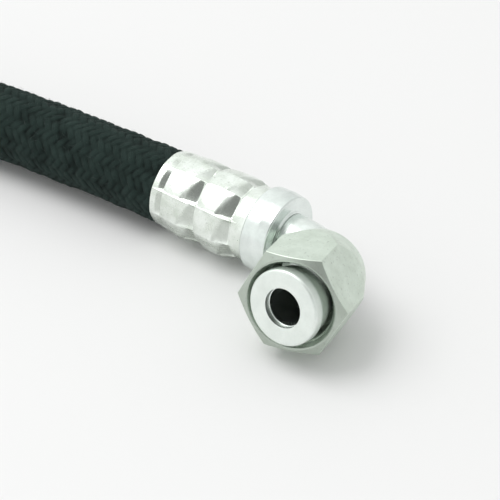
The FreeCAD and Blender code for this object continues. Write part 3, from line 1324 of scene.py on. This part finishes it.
@dataclass
class Stem:
    """Hose stem: barbed nipple, collar and what follows it. X is 0 at its ferrule's mouth."""

    bore_r: float = 4.0 * MM
    nipple_r: float = 5.15 * MM
    tip: float = 1.5 * MM
    hose_depth: float = 22.4 * MM
    shank_r: float = 7.6 * MM
    back: float = 28.1 * MM
    gap: float = 0.02 * MM
    collar_length: float = 7.4 * MM
    collar_back_r: float = 10.25 * MM
    collar_shoulder_r: float = 10.75 * MM
    collar_r: float = 10.85 * MM
    collar_step: float = 4.2 * MM
    collar_front_r: float = 10.4 * MM
    columns: int = 176

    @property
    def front(self) -> float:
        """Place of the collar's front face."""
        return self.back + self.collar_length

    def nipple(self) -> list[Corner]:
        """Corners from the bore's inner end to the shank.

        Returns:
            The corners, in order.
        """
        return [
            Corner(self.tip, self.bore_r),
            Corner(self.tip, self.nipple_r, 0.3 * MM),
            Corner(self.hose_depth, self.nipple_r),
            Corner(self.hose_depth, self.shank_r),
        ]

    def collar(self) -> list[Corner]:
        """Corners of the collar, up to its front edge.

        Returns:
            The corners, in order.
        """
        return [
            Corner(self.back + self.gap, self.shank_r),
            Corner(self.back + self.gap, self.collar_back_r, 0.10 * MM),
            Corner(self.back + 0.5 * MM, self.collar_shoulder_r, 0.30 * MM),
            Corner(self.back + self.collar_step, self.collar_r, 0.30 * MM),
            Corner(self.front, self.collar_front_r, 0.40 * MM),
        ]

    def fitting_end(self) -> list[Corner]:
        """Corners from the collar's front edge round to the bore, for each kind of stem."""
        raise NotImplementedError

    def outline(self, angle: float) -> list[Corner]:
        """Closed outline, the same at every angle.

        Args:
            angle: angle about X in radians; not used.

        Returns:
            Its corners.
        """
        return [*self.nipple(), *self.collar(), *self.fitting_end()]

    def build(self, name: str, matrix: Matrix, node: str) -> bpy.types.Object:
        """Build the stem.

        Args:
            name: name of the piece.
            matrix: its place in the row frame.
            node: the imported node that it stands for.

        Returns:
            The piece.
        """
        mesh = turned_mesh(name, self.outline, even_angles(self.columns))
        finish = STEM_ZINC.material()
        return dress(name, mesh, finish, matrix, Body.HOSE, [node])


@dataclass
class ElbowStem(Stem):
    """Stem of end A, with a brazed socket for the elbow tube."""

    tube_r: float = 6.35 * MM
    socket: float = 5.0 * MM
    fillet: float = 0.7 * MM

    def fitting_end(self) -> list[Corner]:
        """Corners of the braze fillet and of the socket.

        Returns:
            The corners, in order.
        """
        return [
            Corner(self.front, self.tube_r + self.fillet, 0.3 * MM),
            Corner(self.front + self.fillet, self.tube_r + 0.03 * MM),
            Corner(self.front - self.socket, self.tube_r),
            Corner(self.front - self.socket, self.bore_r),
        ]


@dataclass
class StraightStem(Stem):
    """Stem of end B, in one piece with its neck and seal head."""

    neck_r: float = 7.6 * MM
    neck_length: float = 4.4 * MM
    head_length: float = 14.0 * MM
    seal_r: float = 9.25 * MM
    seal_hole_r: float = 4.9 * MM
    seal_wall: float = 1.5 * MM
    wire_from_front: float = 16.6 * MM
    nut_seat: float = 11.1 * MM
    groove_half: float = 0.87 * MM
    groove_r: float = 8.42 * MM

    def fitting_end(self) -> list[Corner]:
        """Corners of the neck, the head with the wire's groove, and the seal face.

        Returns:
            The corners, in order.
        """
        head = self.front + self.neck_length
        face = head + self.head_length
        wire = face + self.nut_seat - self.wire_from_front
        return [
            Corner(self.front, self.neck_r, 0.4 * MM),
            Corner(head, self.neck_r, 0.3 * MM),
            Corner(head + 1.0 * MM, self.seal_r, 0.3 * MM),
            Corner(wire - self.groove_half, self.seal_r, 0.1 * MM),
            Corner(wire - self.groove_half, self.groove_r),
            Corner(wire + self.groove_half, self.groove_r),
            Corner(wire + self.groove_half, self.seal_r, 0.1 * MM),
            Corner(face, self.seal_r, 0.4 * MM),
            Corner(face, self.seal_hole_r, 0.12 * MM),
            Corner(face - self.seal_wall, self.seal_hole_r),
            Corner(face - self.seal_wall, self.bore_r),
        ]


@dataclass
class SealSleeve:
    """Sleeve brazed on the elbow tube, with the seal face at X = 0 and its tail at +X."""

    seal_r: float = 9.4 * MM
    hole_r: float = 4.9 * MM
    wall: float = 1.5 * MM
    head: float = 2.8 * MM
    sleeve_r: float = 8.45 * MM
    sleeve_length: float = 6.6 * MM
    tail_r: float = 6.9 * MM
    tail_length: float = 10.4 * MM
    tube_r: float = 6.35 * MM
    columns: int = 176

    def outline(self, angle: float) -> list[Corner]:
        """Closed outline, the same at every angle.

        Args:
            angle: angle about X in radians; not used.

        Returns:
            Its corners.
        """
        shoulder = self.head + self.seal_r - self.sleeve_r
        return [
            Corner(0.0, self.hole_r, 0.10 * MM),
            Corner(0.0, self.seal_r, 0.7 * MM),
            Corner(self.head, self.seal_r, 0.2 * MM),
            Corner(shoulder, self.sleeve_r, 0.2 * MM),
            Corner(self.sleeve_length, self.sleeve_r, 0.3 * MM),
            Corner(self.tail_length, self.tail_r, 0.2 * MM),
            Corner(self.tail_length, self.tube_r),
            Corner(self.wall, self.tube_r),
            Corner(self.wall, self.hole_r),
        ]

    def build(self, matrix: Matrix) -> bpy.types.Object:
        """Build the sleeve.

        Args:
            matrix: its place in the row frame.

        Returns:
            The piece.
        """
        mesh = turned_mesh("seal_sleeve_a", self.outline, even_angles(self.columns))
        finish = SEAL_ZINC.material()
        nodes = ["seal_sleeve"]
        return dress("seal_sleeve_a", mesh, finish, matrix, Body.HOSE, nodes)


@dataclass
class ElbowTube:
    """Bent tube from stem A's socket to the seal sleeve, in the elbow's own plane."""

    tube_r: float = 6.35 * MM
    bore_r: float = 4.7 * MM
    bend_r: float = 18.9 * MM
    drop: float = 31.4 * MM
    collar_face: float = -20.2 * MM
    socket: float = 5.0 * MM
    seal_wall: float = 1.5 * MM
    chamfer: float = 0.12 * MM
    back_shares: tuple[float, ...] = (0.0, 0.5, 0.9)
    front_shares: tuple[float, ...] = (0.1, 0.5, 0.97, 1.0)
    bend_rings: int = 48
    columns: int = 120

    def centres(self) -> list[tuple[Vector, Vector]]:
        """Centres and headings of the rings, from the socket to the seal.

        Returns:
            A (centre, heading) pair for each ring.
        """
        rings = []
        for share in self.back_shares:
            x = self.collar_face - self.socket
            x += share * (-self.bend_r - x)
            rings.append((Vector((x, self.drop, 0.0)), Vector((1.0, 0.0, 0.0))))
        for index in range(self.bend_rings + 1):
            turn = 0.5 * math.pi * index / self.bend_rings
            out = Vector((math.sin(turn), math.cos(turn), 0.0))
            middle = Vector((-self.bend_r, self.drop - self.bend_r, 0.0)) + out * self.bend_r
            rings.append((middle, Vector((math.cos(turn), -math.sin(turn), 0.0))))
        for share in self.front_shares:
            y = self.drop - self.bend_r
            y += share * (self.seal_wall - y)
            rings.append((Vector((0.0, y, 0.0)), Vector((0.0, -1.0, 0.0))))
        return rings

    def build(self, matrix: Matrix) -> bpy.types.Object:
        """Build the tube.

        Args:
            matrix: place of the elbow's plane in the row frame.

        Returns:
            The piece.
        """
        rings = self.centres()
        up = Vector((0.0, 0.0, 1.0))
        rows = [(centre, heading, self.tube_r) for centre, heading in rings]
        last, heading = rings[-1]
        rows.append((last, heading, self.bore_r + self.chamfer))
        rows.append((last - heading * self.chamfer, heading, self.bore_r))
        rows += [(centre, way, self.bore_r) for centre, way in reversed(rings[:-1])]
        points = np.zeros((len(rows), self.columns, 3))
        for row, (centre, way, radius) in enumerate(rows):
            side = up.cross(way)
            for column, angle in enumerate(even_angles(self.columns)):
                out = side * math.cos(angle) + up * math.sin(angle)
                points[row, column] = centre + out * radius
        mesh = grid_mesh("elbow_bend", points)
        finish = TUBE_ZINC.material()
        nodes = ["elbow_tube"]
        return dress("elbow_bend", mesh, finish, matrix, Body.HOSE, nodes)


@dataclass
class SwivelNut:
    """Hexagonal swivel nut with a long tapered tail; its front is at X = 0 and its tail at +X."""

    first_corner_deg: float
    flats: float = 24.0 * MM
    edge_r: float = 0.35 * MM
    length: float = 22.4 * MM
    hex_length: float = 11.5 * MM
    tail_r: float = 10.4 * MM
    chamfer_r: float = 11.4 * MM
    chamfer_depth: float = 1.26 * MM
    minor_r: float = 9.75 * MM
    major_r: float = 10.3 * MM
    thread_pitch: float = 1.5875 * MM
    mouth_r: float = 10.95 * MM
    mouth_depth: float = 2.2 * MM
    thread_end: float = 10.8 * MM
    relief_r: float = 10.5 * MM
    relief_end: float = 14.3 * MM
    hole_r: float = 8.75 * MM
    thread_start: float = 0.06 * MM
    run_out: float = 0.5 * MM
    flank: float = 1.5
    crest: float = 0.25
    stations: int = 92
    offsets_deg: tuple[float, ...] = (
        0.0, 0.25, 0.5, 0.75, 0.95, 1.6, 2.6, 4.0, 6.0, 8.5, 11.5, 15.0, 18.5, 22.0, 26.0, 30.0
    )

    def hexagon_r(self, angle: float) -> float:
        """Radius of the hexagon with rounded edges.

        Args:
            angle: angle about X in radians.

        Returns:
            The radius.
        """
        away = (math.degrees(angle) - self.first_corner_deg) % 60.0
        away = math.radians(min(away, 60.0 - away))
        half = math.radians(30.0)
        centre = (0.5 * self.flats - self.edge_r) / math.cos(half)
        reach = math.atan2(self.edge_r * math.sin(half), centre + self.edge_r * math.cos(half))
        if away < reach:
            off = centre * math.sin(away)
            return centre * math.cos(away) + math.sqrt(self.edge_r**2 - off**2)
        return 0.5 * self.flats / math.cos(half - away)

    def outside(self, angle: float) -> list[Corner]:
        """Corners of the outside, from the front face to the tail's edge.

        Args:
            angle: angle about X in radians.

        Returns:
            The corners, in order.
        """
        corner_r = 0.5 * self.flats / math.cos(math.radians(30.0))
        radius = self.hexagon_r(angle)
        chamfer = (radius - self.chamfer_r) / (corner_r - self.chamfer_r) * self.chamfer_depth
        taper = (corner_r - radius) / (corner_r - self.tail_r) * (self.length - self.hex_length)
        return [
            Corner(0.0, self.chamfer_r, 0.08 * MM),
            Corner(chamfer, radius, 0.16 * MM),
            Corner(self.hex_length + taper, radius, 0.35 * MM),
            Corner(self.length, self.tail_r, 0.5 * MM),
        ]

    def thread_r(self, x: float, angle: float) -> float:
        """Radius of the threaded bore: crests at the minor radius, roots towards the major.

        Args:
            x: distance from the front.
            angle: angle about X in radians.

        Returns:
            The radius.
        """
        phase = (x / self.thread_pitch - angle / FULL_TURN) % 1.0
        rise = max(0.0, min(1.0, self.flank * abs(2.0 * phase - 1.0) - self.crest))
        thread = self.minor_r + (self.major_r - self.minor_r) * rise
        cone = self.mouth_r - (self.mouth_r - self.minor_r) * x / self.mouth_depth
        return max(thread, cone)

    def thread(self, angle: float, end: float, end_r: float) -> list[Corner]:
        """Corners down the thread, from its deep end back to the mouth.

        Args:
            angle: angle about X in radians.
            end: place of the deep end.
            end_r: radius that the thread runs out to there.

        Returns:
            The corners, in order.
        """
        corners = []
        for index in range(self.stations + 1):
            x = end + (self.thread_start - end) * index / self.stations
            radius = self.thread_r(x, angle)
            if end - x < self.run_out:
                radius = min(radius, end_r) if end_r < self.minor_r else max(radius, end_r)
            corners.append(Corner(x, radius))
        return corners

    def inside(self, angle: float) -> list[Corner]:
        """Corners of the hollow, from the tail back to the mouth.

        Args:
            angle: angle about X in radians.

        Returns:
            The corners, in order.
        """
        shoulder = self.relief_end + self.relief_r - self.hole_r
        return [
            Corner(self.length, self.hole_r + 0.4 * MM),
            Corner(self.length - 0.4 * MM, self.hole_r),
            Corner(shoulder, self.hole_r, 0.2 * MM),
            Corner(self.relief_end, self.relief_r, 0.2 * MM),
            Corner(self.thread_end + 0.2 * MM, self.relief_r),
            *self.thread(angle, self.thread_end, self.minor_r),
            Corner(0.0, self.mouth_r, 0.0),
        ]

    def outline(self, angle: float) -> list[Corner]:
        """Closed outline at an angle."""
        return self.outside(angle) + self.inside(angle)

    def build(self, name: str, matrix: Matrix, body: Body, node: str) -> bpy.types.Object:
        """Build the nut.

        Args:
            name: name of the piece.
            matrix: its place in the row frame.
            body: the body that it rides on.
            node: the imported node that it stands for.

        Returns:
            The piece.
        """
        angles = sector_angles(6, self.first_corner_deg, self.offsets_deg)
        mesh = turned_mesh(name, self.outline, angles)
        return dress(name, mesh, NUT_ZINC.material(), matrix, body, [node])


@dataclass
class WiredNut(SwivelNut):
    """Swivel nut that a wire ring holds on its stem."""

    stem_hole_r: float = 9.32 * MM
    wire_from_front: float = 16.6 * MM
    groove_half: float = 0.87 * MM
    groove_r: float = 10.16 * MM

    def inside(self, angle: float) -> list[Corner]:
        """Corners of the hollow, from the tail back to the mouth.

        Args:
            angle: angle about X in radians.

        Returns:
            The corners, in order.
        """
        return [
            Corner(self.length, self.stem_hole_r + 0.3 * MM),
            Corner(self.length - 0.3 * MM, self.stem_hole_r),
            Corner(self.wire_from_front + self.groove_half, self.stem_hole_r),
            Corner(self.wire_from_front + self.groove_half, self.groove_r),
            Corner(self.wire_from_front - self.groove_half, self.groove_r),
            Corner(self.wire_from_front - self.groove_half, self.stem_hole_r),
            Corner(self.thread_end + 0.2 * MM, self.stem_hole_r),
            *self.thread(angle, self.thread_end, self.minor_r),
            Corner(0.0, self.mouth_r, 0.0),
        ]


@dataclass
class Assembly:
    """The whole hose assembly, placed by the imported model's mounts and joints."""

    route: HoseRoute
    hose_depth: float = 22.4 * MM
    nut_seat: float = 11.1 * MM
    nut_a_roll_deg: float = 6.85

    def __post_init__(self) -> None:
        """Read the places of the mounts and of the elbow's plane."""
        self.mounts = {mount["name"]: mount for mount in frame["record"]["mounts"]}
        joints = {joint["name"]: joint for joint in frame["joints"]}
        self.elbow_up = Vector(joints["nut_a_travel"]["axis"])

    def mount(self, name: str) -> tuple[Vector, Vector]:
        """Place and outward direction of a mount."""
        return Vector(self.mounts[name]["pos_m"]), Vector(self.mounts[name]["axis"]).normalized()

    def end_a(self) -> list[bpy.types.Object]:
        """Build the elbow end: ferrule, stem, bent tube, seal sleeve and nut.

        Returns:
            Its pieces.
        """
        along = Vector((1.0, 0.0, 0.0))
        mouth = self.route.start() - along * self.hose_depth
        matrix = placement(mouth, along, self.elbow_up)
        face, face_out = self.mount("port_a")
        front, front_out = self.mount("thread_a")
        nut_place = placement(front, -front_out, self.elbow_up)
        nut = SwivelNut(self.nut_a_roll_deg)
        return [
            CrimpedFerrule().build("crimp_ferrule_a", matrix, "ferrule_a"),
            ElbowStem().build("stem_a", matrix, "hose_stem_a"),
            ElbowTube().build(placement(face, along, self.elbow_up)),
            SealSleeve().build(placement(face, -face_out, self.elbow_up)),
            nut.build("nut_a", nut_place, Body.NUT_A, "swivel_nut_a"),
        ]

    def end_b(self) -> list[bpy.types.Object]:
        """Build the straight end: ferrule, stem, nut and the wire that holds it.

        Returns:
            Its pieces.
        """
        face, outward = self.mount("port_b")
        mouth = self.route.end() - outward * self.hose_depth
        matrix = placement(mouth, outward, self.route.up())
        nut_place = placement(face + outward * self.nut_seat, -outward, self.route.up())
        pieces = [
            CrimpedFerrule().build("crimp_ferrule_b", matrix, "ferrule_b"),
            StraightStem().build("stem_b", matrix, "hose_stem_b"),
            WiredNut(0.0).build("nut_b", nut_place, Body.NUT_B, "swivel_nut_b"),
        ]
        wire = frame["nodes"]["nut_retaining_wire"]
        wire.data.materials.clear()
        wire.data.materials.append(SPRING_WIRE.material())
        return [*pieces, wire]


# ---------------------------------------------------------------- studio


@dataclass
class Studio:
    """Camera, lamp, world and floor.

    The world is a light tent: bright_level on the hose's side, tent_level round the rest and
    dim_level in an opening. Each ramp's positions are cosines of the angle to its direction.
    """

    azimuth_deg: float = 35.45
    elevation_deg: float = 35.28
    roll_deg: float = 1.4
    eye: tuple[float, float, float] = (0.2803, -0.40718, 0.36605)
    lens: float = 191.6
    floor_side: float = 8.0
    bright_side: tuple[float, float, float] = (-0.85, -0.25, 0.46)
    bright_ramp: tuple[tuple[float, float], ...] = ((0.1, 0.0), (0.5, 1.0))
    opening: tuple[float, float, float] = (0.35, -0.58, 0.74)
    opening_ramp: tuple[tuple[float, float], ...] = ((0.80, 1.0), (0.93, 0.0))
    bright_level: float = 1.06
    tent_level: float = 0.8
    dim_level: float = 0.32
    tint: tuple[float, float, float] = (0.98, 1.0, 0.988)
    key_place: tuple[float, float, float] = (-0.58, -0.26, 1.13)
    key_power: float = 6.8
    key_side: float = 0.9

    def camera(self) -> None:
        """Camera above end A and to its side."""
        data = bpy.data.cameras.new("camera")
        data.lens = self.lens
        data.clip_start = 0.05
        data.clip_end = 20.0
        camera = bpy.data.objects.new("camera", data)
        bpy.context.scene.collection.objects.link(camera)
        turn = math.radians(self.azimuth_deg)
        tilt = math.radians(self.elevation_deg)
        back = Vector(
            (math.sin(turn) * math.cos(tilt), -math.cos(turn) * math.cos(tilt), math.sin(tilt))
        )
        camera.location = self.eye
        camera.rotation_mode = "QUATERNION"
        roll = Quaternion((0.0, 0.0, 1.0), math.radians(self.roll_deg))
        camera.rotation_quaternion = (-back).to_track_quat("-Z", "Y") @ roll
        bpy.context.scene.camera = camera

    def lamp(self, name: str, place: tuple[float, float, float], side: float, power: float) -> None:
        """Add a square soft box that faces the origin.

        Args:
            name: its name.
            place: its place in metres.
            side: length of its sides in metres.
            power: its power in watts.
        """
        data = bpy.data.lights.new(name, "AREA")
        data.shape = "SQUARE"
        data.size = side
        data.energy = power
        lamp = bpy.data.objects.new(name, data)
        bpy.context.scene.collection.objects.link(lamp)
        lamp.location = place
        lamp.rotation_mode = "QUATERNION"
        lamp.rotation_quaternion = (-Vector(place)).to_track_quat("-Z", "Y")

    def world(self) -> None:
        """Light tent round the object."""
        world = bpy.data.worlds.new("light_tent")
        bpy.context.scene.world = world
        graph = Graph(world)
        heading = graph.split(graph.out(graph.node("ShaderNodeTexCoord"), "Generated"))
        bright = graph.ramp(graph.toward(heading, self.bright_side), self.bright_ramp)
        closed = graph.ramp(graph.toward(heading, self.opening), self.opening_ramp)
        level = bright * (self.bright_level - self.tent_level) + self.tent_level
        level = closed * (level - self.dim_level) + self.dim_level
        room = graph.node("ShaderNodeBackground", None, {"Color": self.tint, "Strength": level})
        graph.node("ShaderNodeOutputWorld", None, {"Surface": room.outputs[0]})

    def floor(self) -> None:
        """White floor at the level that the assembly lies on."""
        half = 0.5 * self.floor_side
        sides = ((-half, -half), (half, -half), (half, half), (-half, half))
        mesh = bpy.data.meshes.new("floor")
        mesh.from_pydata([(x, y, CAD_BOX[0].z) for x, y in sides], [], [(0, 1, 2, 3)])
        mesh.materials.append(Paper().material())
        floor = bpy.data.objects.new("floor", mesh)
        bpy.context.scene.collection.objects.link(floor)

    def build(self) -> None:
        """Set up the studio."""
        bpy.context.scene.view_settings.view_transform = "Standard"
        self.camera()
        self.world()
        self.floor()
        self.lamp("key", self.key_place, self.key_side, self.key_power)


def main() -> None:
    """Build the studio, both ends and the hose, and report each piece's count of faces."""
    logging.basicConfig(level=logging.INFO, format="%(name)s %(message)s")
    Studio().build()
    route = HoseRoute()
    assembly = Assembly(route)
    for piece in [*assembly.end_a(), *assembly.end_b(), *BraidedHose(route).build()]:
        LOG.info("%s: %d faces", piece.name, len(piece.data.polygons))


if __name__ == "__main__":
    main()
